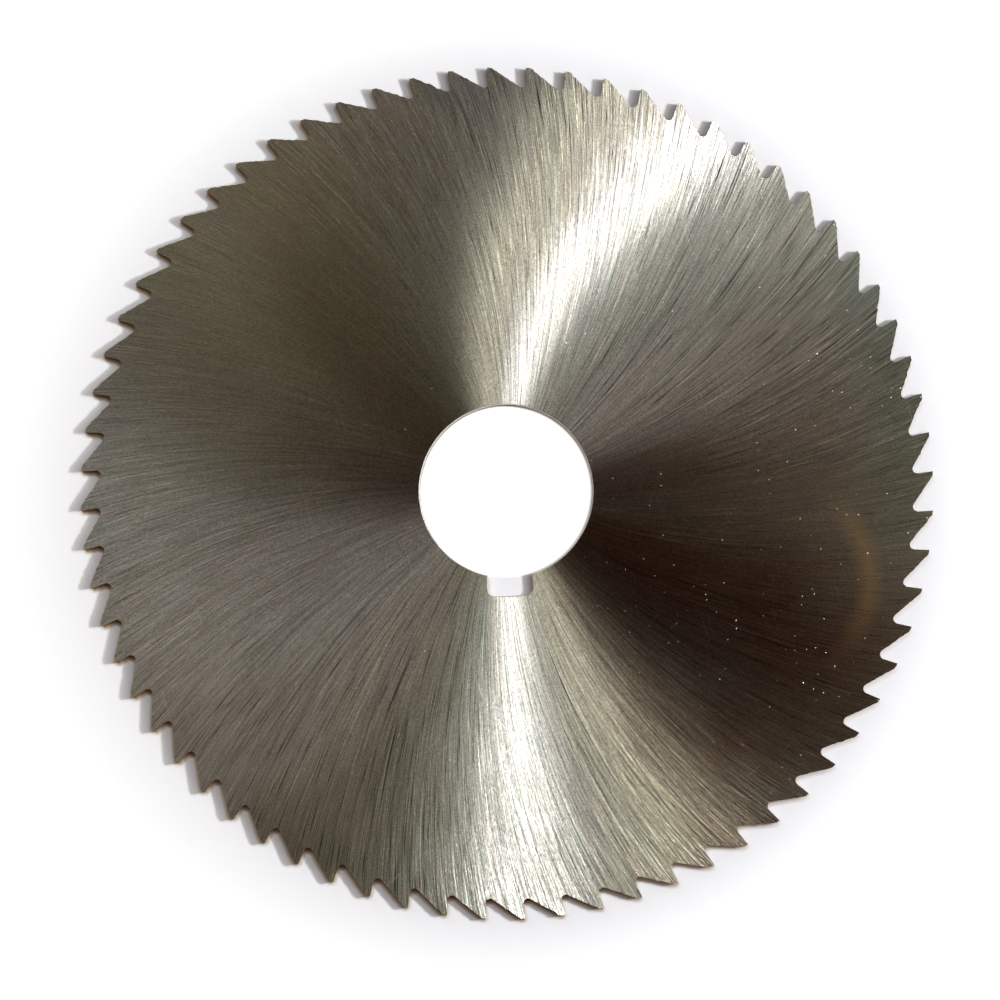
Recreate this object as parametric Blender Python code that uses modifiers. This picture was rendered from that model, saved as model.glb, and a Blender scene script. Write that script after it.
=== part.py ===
"""Slitting saw: a thin steel disc with ground teeth round its rim, a bore and a keyway.

It lies flat, seen from the side on which it turns counter-clockwise when it cuts. The origin is on
the bore's axis, level with the lowest corners of the teeth. The keyway lies towards -Y, and one
tooth's tip stands on the keyway's centre line.
"""

from math import acos, atan2, cos, pi, radians, sin, sqrt

import bmesh
import bpy
from mathutils import Vector

# Blade, in metres
BLADE_DIAMETER = 0.125
RIM_THICKNESS = 0.0015
# How far each side is ground away between the tips and the clamping flat, so the blade can't rub
HOLLOW_DEPTH = 0.0001

# Bore, its broken edges, and the flat ring round it that the arbor's flanges grip
BORE_DIAMETER = 0.0254
BORE_CHAMFER = 0.0002
CLAMPING_FLAT_WIDTH = 0.0065

# Keyway for the arbor's key
KEYWAY_WIDTH = 0.0065
KEYWAY_DEPTH = 0.0027
KEYWAY_CORNER_RADIUS = 0.001

# Teeth
TOOTH_COUNT = 68
TOOTH_HEIGHT = 0.00293
GULLET_RADIUS = 0.0007
RAKE_ANGLE = radians(6)
LAND_LENGTH = 0.00068
CLEARANCE_ANGLE = radians(5)

# How finely round stretches are drawn
BLANK_FACETS_PER_TOOTH = 2
GULLET_FACETS = 8
CORNER_FACETS = 5

# What the blank has beyond the tips before the teeth are ground, and what a cutter has to spare
GRINDING_STOCK = 0.0005
CUTTER_SPARE = 0.001

blade_radius = BLADE_DIAMETER / 2
bore_radius = BORE_DIAMETER / 2
clamping_radius = bore_radius + CLAMPING_FLAT_WIDTH
tooth_pitch = 2 * pi / TOOTH_COUNT
keyway_angle = -pi / 2


# Helpers for the scene, for plane geometry and for making solids


def clear_scene():
    """Remove whatever objects the file holds."""
    for item in list(bpy.data.objects):
        bpy.data.objects.remove(item, do_unlink=True)


def new_collection(name):
    """A collection of this name, linked to the scene."""
    collection = bpy.data.collections.new(name)
    bpy.context.scene.collection.children.link(collection)
    return collection


def polar(radius, angle):
    """The point at this radius and angle."""
    return Vector((radius * cos(angle), radius * sin(angle)))


def arc(centre, radius, start, sweep, facets):
    """Points along an arc, both ends included; a negative sweep runs clockwise."""
    return [centre + polar(radius, start + sweep * step / facets) for step in range(facets + 1)]


def evaluated_mesh(item):
    """A new mesh with the shape that the object has after its modifiers or its curve settings."""
    depsgraph = bpy.context.evaluated_depsgraph_get()
    return bpy.data.meshes.new_from_object(item.evaluated_get(depsgraph))


def weld(mesh):
    """Join the corners that lie on each other."""
    work = bmesh.new()
    work.from_mesh(mesh)
    bmesh.ops.remove_doubles(work, verts=work.verts, dist=1e-7)
    work.to_mesh(mesh)
    work.free()


def plate(name, outline, thickness, mid_height, collection):
    """A flat plate of this outline, as a closed mesh, centred on a height."""
    curve = bpy.data.curves.new(name, "CURVE")
    curve.dimensions = "2D"
    curve.fill_mode = "BOTH"
    curve.extrude = thickness / 2
    spline = curve.splines.new("POLY")
    spline.points.add(len(outline) - 1)
    for corner, point in zip(spline.points, outline):
        corner.co = (point.x, point.y, 0, 1)
    spline.use_cyclic_u = True
    drawn = bpy.data.objects.new(name + "_curve", curve)
    drawn.location.z = mid_height
    collection.objects.link(drawn)
    bpy.context.view_layer.update()

    solid = bpy.data.objects.new(name, evaluated_mesh(drawn))
    weld(solid.data)
    solid.matrix_world = drawn.matrix_world
    bpy.data.objects.remove(drawn, do_unlink=True)
    collection.objects.link(solid)
    return solid


def hide_cutter(item):
    """Show a cutter as wires only."""
    item.hide_render = True
    item.display_type = "WIRE"


def cut(item, operation, cutter):
    """Add an exact Boolean to an object."""
    modifier = item.modifiers.new(cutter.name, "BOOLEAN")
    modifier.operation = operation
    modifier.solver = "EXACT"
    modifier.object = cutter


# Outlines


def tooth_space(tip_angle):
    """The outline from one tip, down its cutting face, round the gullet and up the next tooth's back.

    The gullet's arc touches the cutting face and the root circle. The back is the straight line from
    the arc to the next tooth's land, so its angle follows from the other sizes.
    """
    tip = polar(blade_radius, tip_angle)
    outward = polar(1, tip_angle)
    clockwise = Vector((outward.y, -outward.x))
    down_face = clockwise * sin(RAKE_ANGLE) - outward * cos(RAKE_ANGLE)
    off_face = -clockwise * cos(RAKE_ANGLE) - outward * sin(RAKE_ANGLE)

    # Slide a circle of the gullet's size down the face until it touches the root circle
    centre_radius = blade_radius - TOOTH_HEIGHT + GULLET_RADIUS
    beside_tip = tip + off_face * GULLET_RADIUS
    half_b = beside_tip.dot(down_face)
    slide = -half_b - sqrt(half_b**2 - beside_tip.length_squared + centre_radius**2)
    centre = beside_tip + down_face * slide

    # The next tooth's land falls away clockwise from its tip
    next_outward = polar(1, tip_angle + tooth_pitch)
    next_clockwise = Vector((next_outward.y, -next_outward.x))
    along_land = next_clockwise * cos(CLEARANCE_ANGLE) - next_outward * sin(CLEARANCE_ANGLE)
    heel = next_outward * blade_radius + along_land * LAND_LENGTH

    # The back touches the gullet's circle on its inner side
    to_heel = heel - centre
    start = atan2(-off_face.y, -off_face.x)
    end = atan2(to_heel.y, to_heel.x) + acos(GULLET_RADIUS / to_heel.length)
    sweep = (end - start) % (2 * pi) - 2 * pi
    return [tip, *arc(centre, GULLET_RADIUS, start, sweep, GULLET_FACETS), heel]


def toothed_outline():
    """The whole rim, one tooth space after another, from the tip on the keyway's centre line."""
    outline = []
    for tooth in range(TOOTH_COUNT):
        outline += tooth_space(keyway_angle + tooth * tooth_pitch)
    return outline


def keyway_outline():
    """A slot that starts inside the bore and ends in two rounded corners."""
    half_width = KEYWAY_WIDTH / 2
    corner_x = half_width - KEYWAY_CORNER_RADIUS
    floor_y = -bore_radius - KEYWAY_DEPTH
    corner_y = floor_y + KEYWAY_CORNER_RADIUS
    quarter = pi / 2
    left = arc(Vector((-corner_x, corner_y)), KEYWAY_CORNER_RADIUS, pi, quarter, CORNER_FACETS)
    right = arc(Vector((corner_x, corner_y)), KEYWAY_CORNER_RADIUS, -quarter, quarter, CORNER_FACETS)
    inside_bore = -bore_radius / 2
    return [Vector((-half_width, inside_bore)), *left, *right, Vector((half_width, inside_bore))]


# Solids


def blank(name, collection):
    """The hollow-ground disc before its teeth are cut, turned from half of its cross-section.

    Each side falls as a very flat cone from the tips' circle to the clamping flat.
    """
    stock_radius = blade_radius + GRINDING_STOCK
    slope = HOLLOW_DEPTH / (blade_radius - clamping_radius)
    stock_rise = slope * GRINDING_STOCK
    low, high = HOLLOW_DEPTH, RIM_THICKNESS - HOLLOW_DEPTH
    section = [
        (stock_radius, RIM_THICKNESS + stock_rise),
        (stock_radius, -stock_rise),
        (clamping_radius, low),
        (bore_radius + BORE_CHAMFER, low),
        (bore_radius, low + BORE_CHAMFER),
        (bore_radius, high - BORE_CHAMFER),
        (bore_radius + BORE_CHAMFER, high),
        (clamping_radius, high),
    ]
    mesh = bpy.data.meshes.new(name)
    work = bmesh.new()
    corners = [work.verts.new((x, 0, z)) for x, z in section]
    for first, second in zip(corners, corners[1:] + corners[:1]):
        work.edges.new((first, second))
    work.to_mesh(mesh)
    work.free()

    disc = bpy.data.objects.new(name, mesh)
    collection.objects.link(disc)
    # Half a facet's turn puts every tip over the middle of a facet
    disc.rotation_euler.z = tooth_pitch / BLANK_FACETS_PER_TOOTH / 2
    screw = disc.modifiers.new("turned", "SCREW")
    screw.steps = TOOTH_COUNT * BLANK_FACETS_PER_TOOTH
    screw.render_steps = screw.steps
    screw.use_merge_vertices = True
    screw.merge_threshold = 1e-6
    return disc


def steel():
    """Bright ground high-speed steel."""
    material = bpy.data.materials.new("ground_steel")
    material.use_nodes = True
    shader = material.node_tree.nodes["Principled BSDF"]
    shader.inputs["Base Color"].default_value = (0.46, 0.45, 0.41, 1)
    shader.inputs["Metallic"].default_value = 1.0
    shader.inputs["Roughness"].default_value = 0.32
    return material


def saw_blade(parts, cutters):
    """The finished blade: the turned blank, trimmed to the toothed outline and slotted for the key."""
    through = RIM_THICKNESS + 2 * CUTTER_SPARE
    mid_height = RIM_THICKNESS / 2
    rim = plate("rim_trimmer", toothed_outline(), through, mid_height, cutters)
    keyway = plate("keyway_cutter", keyway_outline(), through, mid_height, cutters)
    hide_cutter(rim)
    hide_cutter(keyway)

    blade = blank("blade", parts)
    cut(blade, "INTERSECT", rim)
    cut(blade, "DIFFERENCE", keyway)
    bpy.context.view_layer.update()
    finished = evaluated_mesh(blade)
    finished.materials.clear()
    finished.materials.append(steel())
    finished.shade_smooth()
    finished.set_sharp_from_angle(angle=radians(20))
    blade.modifiers.clear()
    blade.data = finished
    return blade


clear_scene()
saw_blade(new_collection("slitting_saw"), new_collection("cutters"))
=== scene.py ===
# %% [markdown]
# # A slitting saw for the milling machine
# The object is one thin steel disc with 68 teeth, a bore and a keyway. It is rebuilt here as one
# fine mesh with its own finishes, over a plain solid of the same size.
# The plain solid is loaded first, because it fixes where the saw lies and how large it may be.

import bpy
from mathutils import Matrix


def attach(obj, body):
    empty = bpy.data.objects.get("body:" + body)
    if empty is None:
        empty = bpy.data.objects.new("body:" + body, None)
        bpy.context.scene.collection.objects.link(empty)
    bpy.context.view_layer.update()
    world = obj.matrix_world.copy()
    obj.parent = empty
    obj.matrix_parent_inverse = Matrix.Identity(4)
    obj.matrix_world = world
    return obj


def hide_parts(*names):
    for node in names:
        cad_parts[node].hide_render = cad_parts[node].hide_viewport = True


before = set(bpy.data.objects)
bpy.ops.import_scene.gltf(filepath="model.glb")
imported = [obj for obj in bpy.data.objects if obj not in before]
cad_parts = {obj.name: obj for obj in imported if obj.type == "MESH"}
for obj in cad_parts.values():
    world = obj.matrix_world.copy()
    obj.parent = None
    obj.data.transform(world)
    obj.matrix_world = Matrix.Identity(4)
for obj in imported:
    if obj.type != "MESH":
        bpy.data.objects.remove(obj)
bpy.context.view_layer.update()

# %% [markdown]
# Everything is in metres, with the origin on the bore's axis and the saw lying on the floor at
# height zero. Four helpers are enough for the drawing: a point from a radius and an angle, a step
# of the pen in a straight line, a swing of the pen round a centre, and a weld of the corners that
# meet.

# %% Tools for drawing outlines
from math import acos, atan2, cos, pi, radians, sin, sqrt, tan

import bmesh
import bpy
from mathutils import Matrix, Vector, noise

MM = 0.001
WELD = 2e-7
UPWARDS = Vector((0, 0, 1))


def polar(radius, angle):
    """The point at this radius and angle, on the floor."""
    return Vector((radius * cos(angle), radius * sin(angle), 0))


def step_to(bm, pen, point):
    """Draw a straight edge from the pen's vertex to a point."""
    made = bmesh.ops.extrude_vert_indiv(bm, verts=[pen])
    made["verts"][0].co = point
    return made["verts"][0]


def swing(bm, pen, centre, angle, steps):
    """Draw an arc of short edges; a negative angle runs clockwise."""
    made = bmesh.ops.spin(
        bm, geom=[pen], cent=centre, axis=UPWARDS, angle=angle, steps=steps, use_merge=False
    )
    return [part for part in made["geom_last"] if isinstance(part, bmesh.types.BMVert)][0]


def weld(bm):
    """Join the corners that lie on each other."""
    bmesh.ops.remove_doubles(bm, verts=bm.verts, dist=WELD)


# %% [markdown]
# ## The teeth
# A form wheel grinds each tooth space in one pass: down the cutting face, round the gullet and up
# the next tooth's long back to a narrow land. One space is drawn with the pen and then spun round
# the axis 68 times, so every tooth is alike and the rim closes on itself. The blank is 125 mm
# across, and the gullet's arc touches both the cutting face and the circle of the roots.

# %% Sizes of the rim
TIP_RADIUS = 62.5 * MM
TOOTH_COUNT = 68
TOOTH_HEIGHT = 2.93 * MM
GULLET_RADIUS = 0.70 * MM
RAKE = radians(6)
LAND = 0.68 * MM
CLEARANCE = radians(5)
FIRST_TIP = -pi / 2

pitch = 2 * pi / TOOTH_COUNT
root_radius = TIP_RADIUS - TOOTH_HEIGHT


def tooth_corners(tip_angle):
    """The corners and the gullet's circle of the space that follows one tip."""
    outward = polar(1, tip_angle)
    clockwise = Vector((outward.y, -outward.x, 0))
    tip = outward * TIP_RADIUS
    down_face = clockwise * sin(RAKE) - outward * cos(RAKE)
    off_face = -clockwise * cos(RAKE) - outward * sin(RAKE)

    # The gullet's circle slides down the face until it touches the circle of the roots
    beside_tip = tip + off_face * GULLET_RADIUS
    half_b = beside_tip.dot(down_face)
    reach = (root_radius + GULLET_RADIUS) ** 2
    slide = -half_b - sqrt(half_b**2 - beside_tip.length_squared + reach)
    centre = beside_tip + down_face * slide

    next_outward = polar(1, tip_angle + pitch)
    next_clockwise = Vector((next_outward.y, -next_outward.x, 0))
    along_land = next_clockwise * cos(CLEARANCE) - next_outward * sin(CLEARANCE)
    next_tip = next_outward * TIP_RADIUS
    heel = next_tip + along_land * LAND
    return tip, centre, off_face, heel, next_tip


# %% One tooth space, then the whole rim
GULLET_STEPS = 12
BACK_STEPS = 12

bm = bmesh.new()
tip, centre, off_face, heel, next_tip = tooth_corners(FIRST_TIP)
to_heel = heel - centre
face_end = atan2(-off_face.y, -off_face.x)
back_start = atan2(to_heel.y, to_heel.x) + acos(GULLET_RADIUS / to_heel.length)
gullet_sweep = (back_start - face_end) % (2 * pi) - 2 * pi

pen = bm.verts.new(tip)
pen = step_to(bm, pen, centre + polar(GULLET_RADIUS, face_end))
pen = swing(bm, pen, centre, gullet_sweep, GULLET_STEPS)
back_from = pen.co.copy()
for back_step in range(1, BACK_STEPS + 1):
    pen = step_to(bm, pen, back_from.lerp(heel, back_step / BACK_STEPS))
step_to(bm, pen, next_tip)

bmesh.ops.spin(
    bm,
    geom=bm.verts[:] + bm.edges[:],
    cent=(0, 0, 0),
    axis=UPWARDS,
    angle=2 * pi,
    steps=TOOTH_COUNT,
    use_duplicate=True,
    use_merge=True,
)
weld(bm)
print("rim:", len(bm.verts), "corners,", len(bm.edges), "edges")

# %% [markdown]
# A real tooth back is not a ruled line. The wheel leaves small steps on it, which show as a ragged
# edge against a white table. The corners along the backs are moved in or out by up to about a tenth
# of a millimetre. The noise reads the corner's place, so each tooth gets steps of its own. The tip,
# its land and the gullet stay true, because they do the cutting.

# %% Ragged tooth backs
RAGGED = 0.20 * MM
RAGGED_PER_METRE = 3600
BACK_STARTS = 0.28
CLEAR_OF_TIP = 0.12 * MM
CLEAR_OF_ROOT = 0.15 * MM
MOST_OF_DEPTH = 0.6

moved_corners = 0
for corner in bm.verts:
    around = (atan2(corner.co.y, corner.co.x) - FIRST_TIP) % pitch
    depth = TIP_RADIUS - corner.co.length
    clear = CLEAR_OF_TIP < depth < TOOTH_HEIGHT - CLEAR_OF_ROOT
    if around > BACK_STARTS * pitch and clear:
        push = noise.noise(corner.co * RAGGED_PER_METRE)
        moved = min(RAGGED * push, MOST_OF_DEPTH * depth)
        corner.co += corner.co.normalized() * moved
        moved_corners += 1
print("ragged backs:", moved_corners, "corners moved")

# %% [markdown]
# ## The bore and the keyway
# The arbor's shaft fills the bore, and its key fills the slot. Both are drawn as one outline, half
# with the pen and half by mirroring, because the slot is symmetrical. A second circle marks the
# flat ring that the arbor's flanges grip: outside it, both sides are ground a tenth of a
# millimetre hollow, so that the blade can't rub in its own cut.

# %% Sizes of the middle
BORE_RADIUS = 12.7 * MM
KEYWAY_HALF_WIDTH = 3.25 * MM
KEYWAY_DEPTH = 2.7 * MM
KEYWAY_CORNER = 1.0 * MM
CLAMPING_RADIUS = 19.2 * MM
THICKNESS = 1.5 * MM
HOLLOW = 0.1 * MM
BORE_STEPS = 90
KEYWAY_CORNER_STEPS = 8
RING_SEGMENTS = 4 * TOOTH_COUNT

keyway_floor = -BORE_RADIUS - KEYWAY_DEPTH
mouth_y = -sqrt(BORE_RADIUS**2 - KEYWAY_HALF_WIDTH**2)


def draw_bore_half(bm):
    """The right half of the outline, from the bore's top to the middle of the keyway's floor."""
    mouth_angle = atan2(mouth_y, KEYWAY_HALF_WIDTH)
    pen = bm.verts.new((0, BORE_RADIUS, 0))
    pen = swing(bm, pen, (0, 0, 0), mouth_angle - pi / 2, BORE_STEPS)
    corner_centre = Vector((KEYWAY_HALF_WIDTH - KEYWAY_CORNER, keyway_floor + KEYWAY_CORNER, 0))
    pen = step_to(bm, pen, corner_centre + Vector((KEYWAY_CORNER, 0, 0)))
    pen = swing(bm, pen, corner_centre, -pi / 2, KEYWAY_CORNER_STEPS)
    step_to(bm, pen, Vector((0, keyway_floor, 0)))


# %% Draw the middle
middle = bmesh.new()
draw_bore_half(middle)
bmesh.ops.mirror(middle, geom=middle.verts[:] + middle.edges[:], axis="X", merge_dist=WELD)
weld(middle)
bmesh.ops.create_circle(middle, cap_ends=False, radius=CLAMPING_RADIUS, segments=RING_SEGMENTS)
middle_mesh = bpy.data.meshes.new("middle")
middle.to_mesh(middle_mesh)
middle.free()
bm.from_mesh(middle_mesh)
bpy.data.meshes.remove(middle_mesh)
print("with the middle:", len(bm.verts), "corners")

# %% [markdown]
# ## From outlines to a solid
# A fill turns each pair of outlines into a flat sheet: first the clamping ring, then the wide face
# out to the teeth. Extruding the sheet gives the thickness and the walls of the teeth, gullets and
# bore in one go, and then each side is set to its ground height.

# %% Fill and thicken


def edges_between(bm, low, high):
    """The loose outline edges whose corners lie between two radii."""
    return [e for e in bm.edges if all(low < v.co.xy.length < high for v in e.verts)]


clamping_edges = edges_between(bm, BORE_RADIUS - MM, CLAMPING_RADIUS + MM)
face_edges = edges_between(bm, CLAMPING_RADIUS - MM, TIP_RADIUS + MM)
for outline in (clamping_edges, face_edges):
    bmesh.ops.triangle_fill(bm, use_beauty=True, edges=outline, normal=UPWARDS)
print("flat sheet:", len(bm.faces), "faces")

thick = bmesh.ops.extrude_face_region(bm, geom=bm.faces[:], use_keep_orig=True)
upper = {part for part in thick["geom"] if isinstance(part, bmesh.types.BMVert)}
bmesh.ops.translate(bm, verts=list(upper), vec=(0, 0, THICKNESS))
bmesh.ops.recalc_face_normals(bm, faces=bm.faces)

# %% Hollow grinding


def ground_in(radius):
    """How far a side lies below the tips at this radius."""
    share = (TIP_RADIUS - radius) / (TIP_RADIUS - CLAMPING_RADIUS)
    return HOLLOW * min(share, 1)


for corner in bm.verts:
    lowered = ground_in(corner.co.xy.length)
    corner.co.z += -lowered if corner in upper else lowered

# %% [markdown]
# ## Broken edges
# No real edge is perfectly sharp. The teeth keep almost all of their edge, and grinding leaves a
# burr of two or three hundredths of a millimetre on them, which catches the light as a fine line.
# The bore and the keyway get a proper chamfer, so that the blade slides onto its arbor.

# %% Break the edges
TOOTH_BREAK = 0.03 * MM
BORE_CHAMFER = 0.12 * MM


def rim_edges(bm, low, high):
    """The edges between two radii where a triangle of a side meets a four-cornered wall."""
    found = []
    for edge in bm.edges:
        inside = all(low < v.co.xy.length < high for v in edge.verts)
        corner_counts = {len(face.verts) for face in edge.link_faces}
        if inside and corner_counts == {3, 4}:
            found.append(edge)
    return found


for low, high, width, segments in (
    (BORE_RADIUS - MM, CLAMPING_RADIUS - MM, BORE_CHAMFER, 3),
    (CLAMPING_RADIUS, TIP_RADIUS + MM, TOOTH_BREAK, 1),
):
    broken = bmesh.ops.bevel(
        bm,
        geom=rim_edges(bm, low, high),
        offset=width,
        offset_type="OFFSET",
        affect="EDGES",
        segments=segments,
        profile=0.5,
        material=-1,
        clamp_overlap=True,
    )
    print("edge break", round(width / MM, 3), "mm:", len(broken["faces"]), "faces")

# %% [markdown]
# ## Which finish goes where
# The faces are sorted by how they point and where they are: the two flat sides, the walls of the
# teeth, the walls of the bore and keyway, and the narrow broken edges.

# %% Sort the faces and make the piece
SIDE, TOOTH_WALL, BORE_WALL, EDGE = range(4)
LIES_FLAT = 0.97
LEANS = 0.2

bm.normal_update()
for face in bm.faces:
    upright = abs(face.normal.z)
    near_bore = face.calc_center_median().xy.length < CLAMPING_RADIUS - MM
    if upright > LIES_FLAT:
        face.material_index = SIDE
    elif upright > LEANS:
        face.material_index = EDGE
    else:
        face.material_index = BORE_WALL if near_bore else TOOTH_WALL
    face.smooth = True

SHARP = radians(20)

for edge in bm.edges:
    finishes = {face.material_index for face in edge.link_faces}
    edge.smooth = len(finishes) == 1 and edge.calc_face_angle(0) < SHARP

saw_mesh = bpy.data.meshes.new("saw_blade")
bm.to_mesh(saw_mesh)
bm.free()
saw_blade = bpy.data.objects.new("saw_blade", saw_mesh)
bpy.context.scene.collection.objects.link(saw_blade)
print("saw blade:", len(saw_mesh.polygons), "faces, size", saw_blade.dimensions[:])

# %% [markdown]
# ## Helpers for the finishes
# Every finish is a small tree of nodes. A few short helpers keep the trees readable: one adds a node
# and fills its sockets, and the rest are the sums, turns, noises and mixes that come up often.

# %% Add a node and fill its sockets


def fill(socket, value):
    """Set a socket, or link it where the value is another node's output."""
    if isinstance(value, bpy.types.NodeSocket):
        socket.id_data.links.new(value, socket)
    else:
        socket.default_value = value


def add(tree, kind, inputs=None, **settings):
    """Add a node with these settings and inputs."""
    made = tree.nodes.new(kind)
    for name, value in settings.items():
        setattr(made, name, value)
    for name, value in (inputs or {}).items():
        fill(made.inputs[name], value)
    return made


def new_finish(name):
    """A material with an empty Principled shader, and its tree."""
    finish = bpy.data.materials.new(name)
    finish.use_nodes = True
    return finish, finish.node_tree, finish.node_tree.nodes["Principled BSDF"]


# %% Sums on values and vectors


def sum_of(tree, operation, first, second=0.0, third=0.0, clamp=False):
    """One sum on two values, or on three where the operation takes three."""
    inputs = {0: first, 1: second, 2: third}
    return add(tree, "ShaderNodeMath", inputs, operation=operation, use_clamp=clamp).outputs[0]


def vector_sum(tree, operation, first, second):
    """One sum on two vectors."""
    made = add(tree, "ShaderNodeVectorMath", {0: first, 1: second}, operation=operation)
    return made.outputs["Vector"]


def scaled(tree, vector, factor):
    """A vector made longer or shorter."""
    inputs = {0: vector, "Scale": factor}
    return add(tree, "ShaderNodeVectorMath", inputs, operation="SCALE").outputs["Vector"]


def unit(tree, vector):
    """A vector of length one that points the same way."""
    return add(tree, "ShaderNodeVectorMath", {0: vector}, operation="NORMALIZE").outputs["Vector"]


def length_of(tree, vector):
    """How long a vector is."""
    return add(tree, "ShaderNodeVectorMath", {0: vector}, operation="LENGTH").outputs["Value"]


def facing(tree, vector, angle):
    """The cosine of the angle between a vector of length one and this bearing on the floor."""
    made = add(tree, "ShaderNodeVectorMath", {0: vector, 1: polar(1, angle)}, operation="DOT_PRODUCT")
    return made.outputs["Value"]


def parts_of(tree, vector):
    """The X, Y and Z of a vector."""
    return add(tree, "ShaderNodeSeparateXYZ", {0: vector}).outputs


def thrice(tree, value):
    """A vector that has the same value three times."""
    return add(tree, "ShaderNodeCombineXYZ", {"X": value, "Y": value, "Z": value}).outputs[0]


def turned(tree, vector, angle):
    """A vector turned about the saw's axis."""
    inputs = {"Vector": vector, "Angle": angle}
    return add(tree, "ShaderNodeVectorRotate", inputs, rotation_type="Z_AXIS").outputs[0]


# %% Noise, ranges and mixes


def grain(tree, vector, scale, detail=2.0, roughness=0.5):
    """Noise from nought to one."""
    inputs = {"Vector": vector, "Scale": scale, "Detail": detail, "Roughness": roughness}
    return add(tree, "ShaderNodeTexNoise", inputs, noise_dimensions="3D").outputs[0]


def spread(tree, value, low, high, to_low=0.0, to_high=1.0):
    """Stretch a value from one range onto another, and stop at its ends."""
    inputs = {"Value": value, 1: low, 2: high, 3: to_low, 4: to_high}
    return add(tree, "ShaderNodeMapRange", inputs).outputs[0]


def mixed(tree, share, first, second):
    """A mix of two colours."""
    made = add(tree, "ShaderNodeMix", data_type="RGBA")
    fill(made.inputs[0], share)
    fill(made.inputs[6], first)
    fill(made.inputs[7], second)
    return made.outputs[2]


# %% [markdown]
# ## The ground sides
# A cup wheel grinds the sides while the blade turns beneath it. Each grain of the wheel draws an
# arc from the bore to the rim, leaning further the further out it is. Such a surface is smooth
# along the arcs and rough across them, so a lamp shows as two bright fans on opposite sides.
# The shader's anisotropy gives the fans, and its tangent has to point across the arcs at every
# point. The same arcs carry the streaks: noise that is fine around the axis and slow along the
# radius, unrolled by the lean, so that each streak follows one grain's path.

# %% The path of the grinding marks
ARC_RADIUS = 114 * MM

sides, tree, steel = new_finish("ground_steel_sides")
place = add(tree, "ShaderNodeTexCoord").outputs["Object"]
flat_place = vector_sum(tree, "MULTIPLY", place, (1, 1, 0))
radius = length_of(tree, flat_place)
outward = unit(tree, flat_place)
lean = sum_of(tree, "ARCSINE", sum_of(tree, "MULTIPLY", radius, 0.5 / ARC_RADIUS))
mark_start = turned(tree, outward, sum_of(tree, "MULTIPLY", lean, -1.0))

# %% Streaks along the marks
NEXT_NOISE = 11.0


def centred(tree, value):
    """Noise of three channels, moved from nought to one onto minus one to one."""
    doubled = vector_sum(tree, "MULTIPLY", value, (2, 2, 2))
    return vector_sum(tree, "SUBTRACT", doubled, (1, 1, 1))


def marks(tree, per_radian, along, start):
    """Streaks along the grinding marks, fine round the axis and slow along the radius.

    The three channels of the result are streaks that don't follow each other. The start picks
    another stretch of the noise, so that no two layers are alike.
    """
    slow = sum_of(tree, "MULTIPLY_ADD", radius, 1 / along, start)
    outwards = add(tree, "ShaderNodeCombineXYZ", {"Z": slow}).outputs[0]
    unrolled = vector_sum(tree, "ADD", scaled(tree, mark_start, per_radian), outwards)
    noise_node = grain(tree, unrolled, 1.0, 0.0).node
    return centred(tree, noise_node.outputs["Color"])


def fading(tree, at_bore, at_rim):
    """A strength that changes from the bore to the rim."""
    return spread(tree, radius, BORE_RADIUS, TIP_RADIUS, at_bore, at_rim)


def layered(tree, layers, start):
    """Add up layers of streaks, each with its fineness, its length and its two strengths."""
    total = (0, 0, 0)
    for per_radian, along, at_bore, at_rim in layers:
        streaks = marks(tree, per_radian, along, start)
        total = vector_sum(tree, "ADD", total, scaled(tree, streaks, fading(tree, at_bore, at_rim)))
        start += NEXT_NOISE
    return total


# %% [markdown]
# Each grain leaves a groove, and a groove's two flanks tilt sideways by a few degrees. One flank
# shows the lamps on one side and the other flank those on the other, which is what makes streaks
# of light and dark. The finest marks tilt most. They fan out from the bore, so a layer of streaks
# that is fine near the bore has to give way to a finer one near the rim. The same noise turns the
# grain a little from the wheel's path, which frays the edges of the bright fans, and changes how
# rough the steel is.

# %% Grooves: tilt, direction and roughness of the sides
GROOVES = (
    (680, 6 * MM, 0.0, 0.38),
    (340, 9 * MM, 0.14, 0.09),
    (170, 14 * MM, 0.20, 0.02),
    (80, 20 * MM, 0.04, 0.007),
    (24, 40 * MM, 0.010, 0.006),
    (420, 0.6 * MM, 0.14, 0.18),
)
ROUGHNESS = 0.315
ANISOTROPY = 0.989
FRAY = radians(12)
GLOSS_CHANGE = 0.25

wander = layered(tree, GROOVES, start=0.0)
groove_tilt, fray, gloss_change = parts_of(tree, wander)

across_marks = sum_of(tree, "ADD", lean, pi / 2)
across_grain = sum_of(tree, "MULTIPLY_ADD", fray, FRAY, across_marks)
across_world = add(
    tree,
    "ShaderNodeVectorTransform",
    {"Vector": turned(tree, outward, across_grain)},
    vector_type="VECTOR",
    convert_from="OBJECT",
    convert_to="WORLD",
).outputs[0]

straight = add(tree, "ShaderNodeNewGeometry").outputs["Normal"]
leaning = vector_sum(tree, "ADD", straight, scaled(tree, across_world, groove_tilt))
leaning = unit(tree, leaning)
gloss = sum_of(tree, "MULTIPLY_ADD", gloss_change, GLOSS_CHANGE, ROUGHNESS)
print("grooves:", len(GROOVES), "layers,", len(tree.nodes), "nodes so far")
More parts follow.
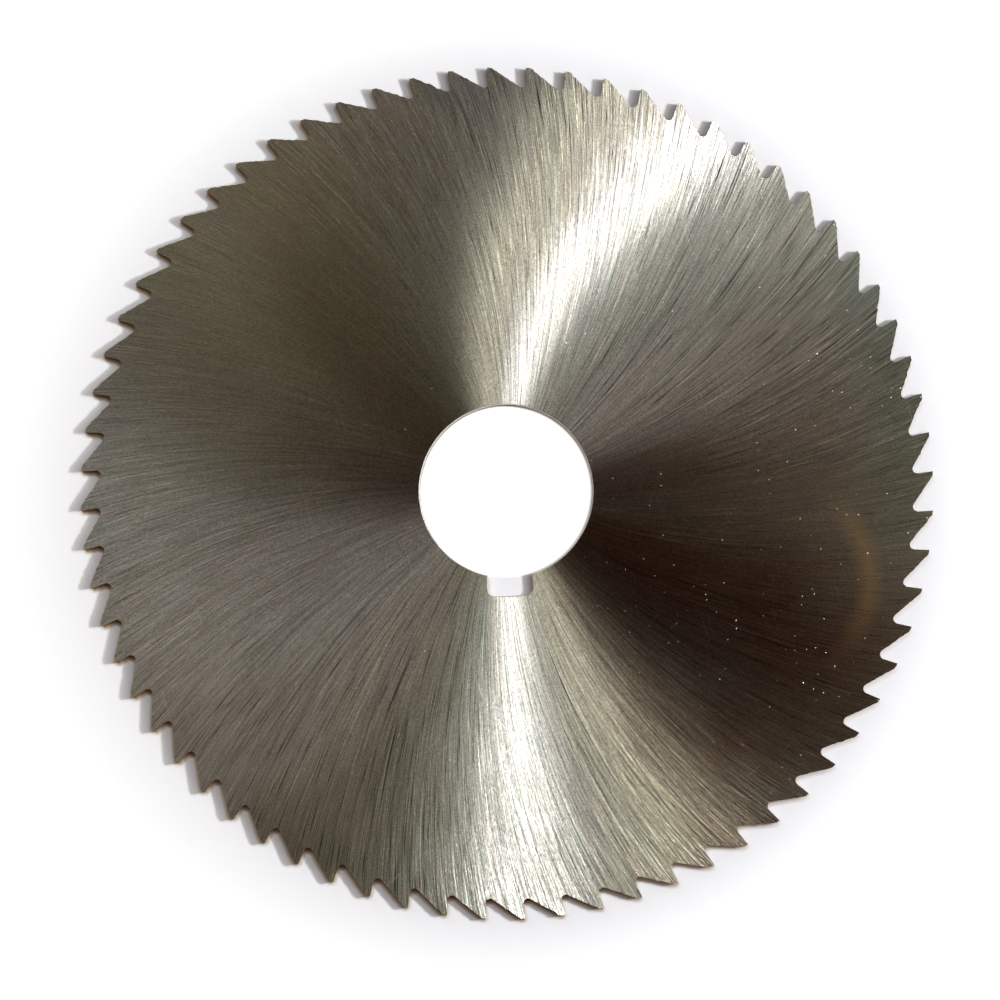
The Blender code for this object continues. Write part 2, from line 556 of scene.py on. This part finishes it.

# %% [markdown]
# Some grains stand proud of the wheel and score thin single lines, dark where the score is open and
# bright where its edge is thrown up. The scores are strong on two stretches that lie almost opposite
# each other and faint elsewhere: a curve over the bearing says how strong. This strength is partly
# painted light: on those stretches it paints in the light and dark streaks that the lamps'
# reflections bring out there. The curve node works from nought to one, so the strengths are divided
# by the strongest one that it should reach and multiplied by it again afterwards.

# %% Strength of the scores round the saw, partly painted light
SCORE_AND_LIGHT_BY_BEARING = (
    (0, 0.5),
    (15, 1.0),
    (28, 1.35),
    (60, 1.3),
    (85, 1.2),
    (110, 0.3),
    (190, 0.3),
    (222, 1.15),
    (240, 1.3),
    (255, 1.3),
    (268, 0.7),
    (298, 1.1),
    (312, 1.0),
    (330, 0.9),
    (345, 0.6),
    (360, 0.5),
)
CURVE_TOP = 2.0

sideways = parts_of(tree, outward)
bearing_here = sum_of(tree, "ARCTAN2", sideways["Y"], sideways["X"])
share_of_turn = sum_of(tree, "FRACT", sum_of(tree, "MULTIPLY", bearing_here, 1 / (2 * pi)))
score_light_curve = add(tree, "ShaderNodeFloatCurve", {"Value": share_of_turn})
curve = score_light_curve.mapping.curves[0]
for degrees, strength in SCORE_AND_LIGHT_BY_BEARING[1:-1]:
    curve.points.new(degrees / 360, strength / CURVE_TOP)
curve.points[0].location = (0, SCORE_AND_LIGHT_BY_BEARING[0][1] / CURVE_TOP)
curve.points[-1].location = (1, SCORE_AND_LIGHT_BY_BEARING[-1][1] / CURVE_TOP)
score_light_curve.mapping.update()
score_and_light_strength = sum_of(tree, "MULTIPLY", score_light_curve.outputs[0], CURVE_TOP)
print("score and light strength:", len(curve.points), "points round the saw")

# %% [markdown]
# A score lies where a streak noise passes through nought, because such a place is a thin line. Each
# layer has dark scores and, from another channel of the noise, paler burrs. The third channel says
# how hard the grain pressed.

# %% Single scores
SCORES = (
    (125, 22 * MM, 0.85, 0.12),
    (260, 15 * MM, 0.55, 0.98),
)
THIN = 0.15
BURR_SHARE = 0.7
LIGHTEST_PRESS = 0.2


def thin_lines(tree, noise_value):
    """One where the noise passes through nought, and nought elsewhere."""
    return spread(tree, sum_of(tree, "ABSOLUTE", noise_value), 0.0, THIN, 1.0, 0.0)


def scores(tree, layers, start):
    """Bright and dark lines along the marks, as more and less light."""
    total = 0.0
    for per_radian, along, at_bore, at_rim in layers:
        open_score, burr, force = parts_of(tree, marks(tree, per_radian, along, start))
        line = sum_of(tree, "MULTIPLY", thin_lines(tree, burr), BURR_SHARE)
        line = sum_of(tree, "SUBTRACT", line, thin_lines(tree, open_score))
        line = sum_of(tree, "MULTIPLY", line, spread(tree, force, -0.25, 0.35, LIGHTEST_PRESS, 1.0))
        total = sum_of(tree, "MULTIPLY_ADD", line, fading(tree, at_bore, at_rim), total)
        start += NEXT_NOISE
    return total


# The scores are real marks, but their strength round the saw is partly painted light.
shade = sum_of(tree, "MULTIPLY", scores(tree, SCORES, start=150.0), score_and_light_strength)

# %% [markdown]
# The steel's colour has three more noises along the marks, one for each channel, so neighbouring
# streaks differ in tint between olive, grey and straw. The scores make it lighter and darker. A
# slow cloud of noise adds dull patches, and a very fine one the pits between the grooves.

# %% Colour of the sides
STEEL = (0.475, 0.465, 0.425)
TINTS = (
    (330, 8 * MM, 0.03, 0.09),
    (140, 16 * MM, 0.08, 0.04),
    (45, 30 * MM, 0.03, 0.02),
    (10, 60 * MM, 0.025, 0.025),
)
CHANNELS = (1.0, 0.4, 1.0)
DARKEST = 0.12
BRIGHTEST = 1.9
PATCHES_PER_METRE = 45.0
PITS_PER_METRE = 4600.0

tint = vector_sum(tree, "MULTIPLY", layered(tree, TINTS, start=90.0), CHANNELS)
factors = vector_sum(tree, "ADD", vector_sum(tree, "ADD", tint, thrice(tree, shade)), (1, 1, 1))
factors = vector_sum(tree, "MAXIMUM", factors, (DARKEST, DARKEST, DARKEST))
factors = vector_sum(tree, "MINIMUM", factors, (BRIGHTEST, BRIGHTEST, BRIGHTEST))
patches = spread(tree, grain(tree, place, PATCHES_PER_METRE, 1.0, 0.6), 0.3, 0.7, 0.93, 1.05)
pits = spread(tree, grain(tree, place, PITS_PER_METRE, 0.0), 0.2, 0.8, 0.76, 1.24)
colour = vector_sum(tree, "MULTIPLY", factors, STEEL)
colour = scaled(tree, colour, sum_of(tree, "MULTIPLY", patches, pits))
print("colour:", len(TINTS), "layers of tint")

# %% [markdown]
# ## Marks of use
# A used blade also has what the wheel didn't do. It has straight hairlines where it slid over
# another tool. They are a noise stretched to needles, of which only the peaks are kept.

# %% Hairlines
LONG_HAIRLINES = (104, 11 * MM, 0.22 * MM)
SHORT_HAIRLINES = (42, 6 * MM, 0.2 * MM)
HAIRLINE_STRENGTH = 0.40


def hairlines(tree, degrees, length, width):
    """One on the thin straight peaks of a stretched noise, nought elsewhere."""
    along_x = turned(tree, place, -radians(degrees))
    stretched = vector_sum(tree, "MULTIPLY", along_x, (1 / length, 1 / width, 0))
    return spread(tree, grain(tree, stretched, 1.0, 0.0), 0.80, 0.86)


long_ones = hairlines(tree, *LONG_HAIRLINES)
short_ones = hairlines(tree, *SHORT_HAIRLINES)
scratches = sum_of(tree, "MAXIMUM", long_ones, short_ones)
scratches = sum_of(tree, "MULTIPLY", scratches, HAIRLINE_STRENGTH)

# %% [markdown]
# It also has bright specks: dust, and dents as fine as a needle's point. A speck is the middle of a
# random cell, and only some cells have one. They crowd in loose swarms, mostly on the right, and
# they differ in size and strength. A dent's wall leans towards the light, so the specks glint.

# %% Specks
CELLS_PER_METRE = 700.0
SWARMS_PER_METRE = 130.0
SMALLEST_SPECK = 0.016
LARGEST_SPECK = 0.044
FAINTEST_SPECK = 0.25
GLINT_LEAN = (0.33, 0.04, 0.0)

cell_inputs = {"Vector": place, "Scale": CELLS_PER_METRE}
cells = add(tree, "ShaderNodeTexVoronoi", cell_inputs, voronoi_dimensions="2D")
chance = add(tree, "ShaderNodeSeparateColor", {0: cells.outputs["Color"]}).outputs
to_the_right = parts_of(tree, place)["X"]
rarity = spread(tree, to_the_right, -10 * MM, 60 * MM, 1.02, 0.80)
swarms = spread(tree, grain(tree, place, SWARMS_PER_METRE, 1.0), 0.45, 0.70, 0.0, 0.45)
present = sum_of(tree, "GREATER_THAN", chance[0], sum_of(tree, "SUBTRACT", rarity, swarms))
speck_size = spread(tree, chance[1], 0.0, 1.0, SMALLEST_SPECK, LARGEST_SPECK)
speck = sum_of(tree, "LESS_THAN", cells.outputs["Distance"], speck_size)
speck = sum_of(tree, "MULTIPLY", speck, present)
speck = sum_of(tree, "MULTIPLY", speck, spread(tree, chance[2], 0.0, 1.0, FAINTEST_SPECK, 1.0))
marked = sum_of(tree, "MAXIMUM", speck, scratches)
leaning = unit(tree, vector_sum(tree, "ADD", leaning, scaled(tree, GLINT_LEAN, speck)))

# %% [markdown]
# The steel's colour carries some painted reflections as well. A wedge at the lower right is browner,
# in clouds: a painted reflection of something dark and brown beside the saw. A faint amber arc near
# the rim is a painted reflection too. At the far right a thin film of oil makes the steel a little
# greener. Each is a mask that mixes another colour into the steel's.

# %% Painted brown reflection in clouds, and the film of oil
BROWN_REFLECTION_WAY = radians(-40)
BROWN_REFLECTION_INNER = radians(8)
BROWN_REFLECTION_OUTER = radians(30)
BROWN_REFLECTION_TINT = (0.98, 0.78, 0.72)
CLOUDS_PER_METRE = 70.0
OIL_STARTS = 47 * MM
OIL_FULL = 57 * MM
OIL_FILM = (0.84, 0.99, 0.97)

brown_reflection = spread(tree, facing(tree, outward, BROWN_REFLECTION_WAY), cos(BROWN_REFLECTION_OUTER), cos(BROWN_REFLECTION_INNER))
clouds = spread(tree, grain(tree, place, CLOUDS_PER_METRE, 2.0), 0.35, 0.65, 0.1, 1.0)
brown_reflection = sum_of(tree, "MULTIPLY", brown_reflection, clouds)
colour = mixed(tree, brown_reflection, colour, vector_sum(tree, "MULTIPLY", colour, BROWN_REFLECTION_TINT))
oily = spread(tree, to_the_right, OIL_STARTS, OIL_FULL)
colour = mixed(tree, oily, colour, vector_sum(tree, "MULTIPLY", colour, OIL_FILM))

# %% The amber arc, a painted reflection
AMBER = (0.95, 0.78, 0.48, 1)
AMBER_STRENGTH = 0.60
AMBER_CENTRE = (37.7 * MM, -14.9 * MM, 0)
AMBER_RADIUS = 14.8 * MM
AMBER_CORE = 0.1 * MM
AMBER_REACH = 2.4 * MM
AMBER_WAY = radians(-3)
AMBER_FULL = radians(10)
AMBER_ENDS = radians(58)

# The amber arc is a painted reflection: an amber colour mixed into the steel along a circle.
from_centre = vector_sum(tree, "SUBTRACT", flat_place, AMBER_CENTRE)
off_arc = sum_of(tree, "SUBTRACT", length_of(tree, from_centre), AMBER_RADIUS)
off_arc = sum_of(tree, "ABSOLUTE", off_arc)
amber = spread(tree, off_arc, AMBER_CORE, AMBER_REACH, 1.0, 0.0)
arc_way = facing(tree, unit(tree, from_centre), AMBER_WAY)
amber = sum_of(tree, "MULTIPLY", amber, spread(tree, arc_way, cos(AMBER_ENDS), cos(AMBER_FULL)))
colour = mixed(tree, sum_of(tree, "MULTIPLY", amber, AMBER_STRENGTH), colour, AMBER)

# %% [markdown]
# The specks and hairlines are bare bright metal and duller than the ground steel, so they go on top
# of every other colour. Then all that was worked out is wired into the steel's shader.

# %% Put the sides together
BARE_METAL = (0.90, 0.89, 0.86, 1)
MARKED_DULLER = 0.25

colour = mixed(tree, marked, colour, BARE_METAL)
gloss = sum_of(tree, "MULTIPLY_ADD", marked, MARKED_DULLER, gloss)

fill(steel.inputs["Base Color"], colour)
fill(steel.inputs["Roughness"], gloss)
fill(steel.inputs["Normal"], leaning)
fill(steel.inputs["Tangent"], across_world)
steel.inputs["Metallic"].default_value = 1.0
steel.inputs["Anisotropic"].default_value = ANISOTROPY
print("ground sides:", len(tree.nodes), "nodes")

# %% [markdown]
# ## The walls and the broken edges
# The form wheel runs across the thickness, so its marks on the teeth stand upright, and the heat
# of the grinding leaves them browner than the sides. The bore is bored and reamed: finer, brighter
# marks. The broken edges are bare bright metal with small nicks. One function makes all three from
# a dark and a light colour, the marks in a metre, and the roughness at the marks' tops and floors.

# %% Finishes of the walls
WALLS = {
    "ground_tooth_walls": ((0.12, 0.08, 0.06, 1), (0.34, 0.28, 0.23, 1), 5200, 0.38, 0.55),
    "reamed_bore": ((0.36, 0.33, 0.29, 1), (0.58, 0.56, 0.51, 1), 4200, 0.25, 0.40),
    "broken_edges": ((0.50, 0.48, 0.44, 1), (0.74, 0.72, 0.67, 1), 2600, 0.42, 0.60),
}
UPRIGHT_STRETCH = 0.12
WALL_CLOUDS_PER_METRE = 300.0
MARK_DEPTH = 0.01 * MM


def wall_finish(name, dark, light, marks_per_metre, low, high):
    """Upright marks on a wall, between two colours, with this range of roughness."""
    finish, tree, metal = new_finish(name)
    place = add(tree, "ShaderNodeTexCoord").outputs["Object"]
    squashed = vector_sum(tree, "MULTIPLY", place, (1, 1, UPRIGHT_STRETCH))
    streaks = grain(tree, squashed, marks_per_metre, 3.0, 0.6)
    clouds = spread(tree, grain(tree, place, WALL_CLOUDS_PER_METRE, 2.0), 0.3, 0.7, 0.6, 1.0)
    share = sum_of(tree, "MULTIPLY", spread(tree, streaks, 0.3, 0.7), clouds)
    fill(metal.inputs["Base Color"], mixed(tree, share, dark, light))
    fill(metal.inputs["Roughness"], spread(tree, streaks, 0.3, 0.7, high, low))
    bump_inputs = {"Strength": 0.8, "Distance": MARK_DEPTH, "Height": streaks}
    bump = add(tree, "ShaderNodeBump", bump_inputs)
    fill(metal.inputs["Normal"], bump.outputs[0])
    metal.inputs["Metallic"].default_value = 1.0
    return finish


wall_finishes = [wall_finish(name, *look) for name, look in WALLS.items()]
for finish in [sides, *wall_finishes]:
    saw_mesh.materials.append(finish)
print("finishes:", [finish.name for finish in saw_mesh.materials])

# %% [markdown]
# The dressed blade belongs to the saw's one body and is shown in place of the plain solid.

# %% Join the piece to the frame
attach(saw_blade, "root")
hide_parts("blade")

# %% [markdown]
# ## The floor
# The saw lies on plain white card. The card is pale and dull, and adds light of its own where a
# camera or a reflection sees it, so it comes out white without more light on the saw. It is a stage
# for the picture and no part of the saw.

# %% The white card
CARD_HALF_WIDTH = 3.0

floor_bm = bmesh.new()
bmesh.ops.create_grid(floor_bm, x_segments=1, y_segments=1, size=CARD_HALF_WIDTH)
floor_mesh = bpy.data.meshes.new("floor")
floor_bm.to_mesh(floor_mesh)
floor_bm.free()
floor = bpy.data.objects.new("floor", floor_mesh)
bpy.context.scene.collection.objects.link(floor)

card, tree, card_shader = new_finish("white_card")
floor_mesh.materials.append(card)
card_place = add(tree, "ShaderNodeTexCoord").outputs["Object"]
card_radius = length_of(tree, card_place)
from_left = parts_of(tree, card_place)["X"]
inside_bore = spread(tree, card_radius, BORE_RADIUS - 0.4 * MM, BORE_RADIUS, 1.0, 0.0)
print("white card:", floor.dimensions[:])

# %% [markdown]
# Just under the teeth the card's colour and glow are darkened and browned: this is painted shade,
# standing for the brown tooth walls that the card sees there in place of the daylight, which comes
# low from behind the saw. Ambient occlusion finds those places: it tells how much of the view is
# free, here in the daylight's own direction. Raising it to a higher power for blue than for red makes
# the painted shade brown. It fades out to the right, by the window.

# %% The painted shade under the teeth
DAYLIGHT_WAY = (0.5, 1.9, 0.0)
SHADE_REACH = 1.0 * MM
SHADE_SAMPLES = 16
DEEPEST_LEFT = 0.08
DEEPEST_RIGHT = 0.75
SHADE_FADES_BY = 45 * MM
BROWNER = (1.0, 1.35, 1.8)
WHITE = (1, 1, 1, 1)

card_face = add(tree, "ShaderNodeNewGeometry").outputs["Normal"]
way = unit(tree, vector_sum(tree, "ADD", card_face, DAYLIGHT_WAY))
view = {"Distance": SHADE_REACH, "Normal": way}
daylight = add(tree, "ShaderNodeAmbientOcclusion", view, samples=SHADE_SAMPLES).outputs["AO"]
deepest = spread(tree, from_left, 0.0, SHADE_FADES_BY, DEEPEST_LEFT, DEEPEST_RIGHT)
painted_light_share = spread(tree, daylight, 0.35, 0.90, deepest, 1.0)
painted_shade = vector_sum(tree, "POWER", thrice(tree, painted_light_share), BROWNER)
painted_shade = mixed(tree, inside_bore, painted_shade, WHITE)

# %% [markdown]
# The card's own glow isn't the same everywhere, so it paints light and shade on the card. Near the
# saw it is weak on the right, where the window lights the card anyway, and stronger on the left. It
# is weak next to the teeth, a painted shade, grows past the teeth and is full white far away. It is
# nearly white in the bore, where hardly any light falls in: painted light that washes out the bore's
# shadow. The card is also painted a little greyer on the window's side, so that it doesn't clip to
# plain white there.

# %% The card's colour and glow, with painted light and shade
CARD = (0.86, 0.87, 0.92, 1)
CARD_BY_WINDOW = (0.74, 0.75, 0.80, 1)
GLOW_NEAR = (0.11, 0.11, 0.13, 1)
GLOW_LEFT = (0.26, 0.255, 0.265, 1)
GLOW_PAST_TEETH = (0.46, 0.46, 0.46, 1)
GLOW_IN_BORE = (0.90, 0.90, 0.93, 1)
TO_RIM = 62 * MM
PAST_TEETH = 75 * MM
FAR_STARTS = 90 * MM
FAR_FULL = 600 * MM


def seen_rays(tree):
    """One for camera, mirror and glass rays, and nought for all others."""
    rays = add(tree, "ShaderNodeLightPath").outputs
    seen = sum_of(tree, "ADD", rays["Is Camera Ray"], rays["Is Glossy Ray"], clamp=True)
    return sum_of(tree, "ADD", seen, rays["Is Transmission Ray"], clamp=True)


glow = mixed(tree, spread(tree, from_left, -TO_RIM, 0.0), GLOW_LEFT, GLOW_NEAR)
glow = mixed(tree, spread(tree, card_radius, TO_RIM, PAST_TEETH), glow, GLOW_PAST_TEETH)
glow = mixed(tree, spread(tree, card_radius, FAR_STARTS, FAR_FULL), glow, WHITE)
glow = mixed(tree, inside_bore, glow, GLOW_IN_BORE)
card_colour = mixed(tree, spread(tree, from_left, 0.0, TO_RIM), CARD, CARD_BY_WINDOW)

fill(card_shader.inputs["Emission Color"], vector_sum(tree, "MULTIPLY", glow, painted_shade))
fill(card_shader.inputs["Emission Strength"], seen_rays(tree))
fill(card_shader.inputs["Base Color"], vector_sum(tree, "MULTIPLY", card_colour, painted_shade))
card_shader.inputs["Roughness"].default_value = 0.9
card_shader.inputs["Specular IOR Level"].default_value = 0.0
print("card:", len(tree.nodes), "nodes")

# %% [markdown]
# ## The light
# Ground steel is a mirror along its marks, so it shows what stands round it. A small strong window
# on the right, with paler panes beside it and above it, gives the two bright fans. Soft cards round
# the table and a pale ceiling fill the rest, and the gaps between them leave the dark wedge at the
# lower right. Each lamp is given by its bearing, its height above the table, its width and its
# height as seen from the saw, all in degrees, then its brightness and its tint.

# %% Lamps on a ring round the saw
LAMP_DISTANCE = 0.5
NEUTRAL = (1.0, 1.0, 1.0)
GLASS = (0.87, 1.0, 0.86)
COOL = (0.88, 0.98, 1.0)
WARM = (1.0, 0.85, 0.65)
STRAW = (1.0, 0.96, 0.55)
PALE_STRAW = (0.96, 1.0, 0.76)
EMBER = (1.0, 0.62, 0.46)
RUST = (1.0, 0.45, 0.18)
DUSK = (0.37, 0.45, 1.0)
LAMPS = {
    "window": (3, 41, 8, 6.5, 163, NEUTRAL),
    "window_edge": (22, 45, 8, 8, 14.4, GLASS),
    "window_side": (21.5, 53.5, 8, 12, 9.4, WARM),
    "window_top": (351, 53, 11.5, 13, 3.15, GLASS),
    "ceiling_right": (344, 71, 21, 13, 0.69, WARM),
    "ceiling_left": (175, 71, 22, 23, 0.255, STRAW),
    "ceiling_behind": (140, 60, 31, 34, 0.44, WARM),
    "ceiling_left_behind": (145, 63, 27, 16, 0.33, DUSK),
    "card_left_behind": (126, 28, 31, 31, 1.2, COOL),
    "card_front_low": (313, 14.5, 27.5, 12, 3.0, COOL),
    "card_front_right": (303, 43, 37, 29, 0.42, EMBER),
    "card_behind": (68, 32, 21, 44, 0.13, RUST),
    "lamp_behind": (80, 39.5, 10.5, 12, 0.73, PALE_STRAW),
}


def hang_lamp(name, bearing, rise, wide, tall, brightness, tint):
    """A soft rectangular lamp that faces the saw."""
    way = polar(cos(radians(rise)), radians(bearing)) + UPWARDS * sin(radians(rise))
    light = bpy.data.lights.new(name, "AREA")
    light.shape = "RECTANGLE"
    light.size = 2 * LAMP_DISTANCE * tan(radians(wide) / 2)
    light.size_y = 2 * LAMP_DISTANCE * tan(radians(tall) / 2)
    light.energy = brightness * pi * light.size * light.size_y
    light.color = tint
    lamp = bpy.data.objects.new(name, light)
    lamp.location = way * LAMP_DISTANCE
    lamp.rotation_euler = way.to_track_quat("Z", "Y").to_euler()
    lamp.visible_camera = False
    bpy.context.scene.collection.objects.link(lamp)
    return light.energy


for name, setting in LAMPS.items():
    print("lamp", name, round(hang_lamp(name, *setting), 3), "W")

# %% [markdown]
# The world is a dim room, faintly red from the brown things in it. Low down, up to about four
# degrees, it has a white backdrop that only cameras and reflections see, so a view from the side is
# white too.

# %% The room
BACKDROP_TOP = sin(radians(4))
ROOM = (0.0095, 0.0005, 0.0005, 1)

world = bpy.data.worlds.new("room")
bpy.context.scene.world = world
world.use_nodes = True
tree = world.node_tree
direction = add(tree, "ShaderNodeTexCoord").outputs["Generated"]
low_down = sum_of(tree, "LESS_THAN", parts_of(tree, direction)["Z"], BACKDROP_TOP)
backdrop = sum_of(tree, "MULTIPLY", low_down, seen_rays(tree))
fill(tree.nodes["Background"].inputs["Color"], mixed(tree, backdrop, ROOM, WHITE))

# %% [markdown]
# ## The camera
# The saw is photographed from about half a metre, almost straight down, through a long lens. The
# camera leans three degrees back and is turned a little, so the keyway points just right of down.

# %% Camera
CAMERA_PLACE = Vector((6.3, -28.4, 550.7)) * MM
AIM = Vector((-0.96, -1.30, 1.5)) * MM
PICTURE_UP = Vector((0.0454, 0.999, 0))
SENSOR = 36.0
LENS = 135.1

camera_data = bpy.data.cameras.new("camera")
camera_data.sensor_width = SENSOR
camera_data.lens = LENS
camera = bpy.data.objects.new("camera", camera_data)
back = (CAMERA_PLACE - AIM).normalized()
right = PICTURE_UP.cross(back).normalized()
turn = Matrix((right, back.cross(right), back)).transposed()
camera.matrix_world = Matrix.Translation(CAMERA_PLACE) @ turn.to_4x4()
bpy.context.scene.collection.objects.link(camera)
bpy.context.scene.camera = camera
bpy.context.scene.view_settings.view_transform = "Standard"
print("camera:", round((CAMERA_PLACE - AIM).length, 3), "m from its aim")
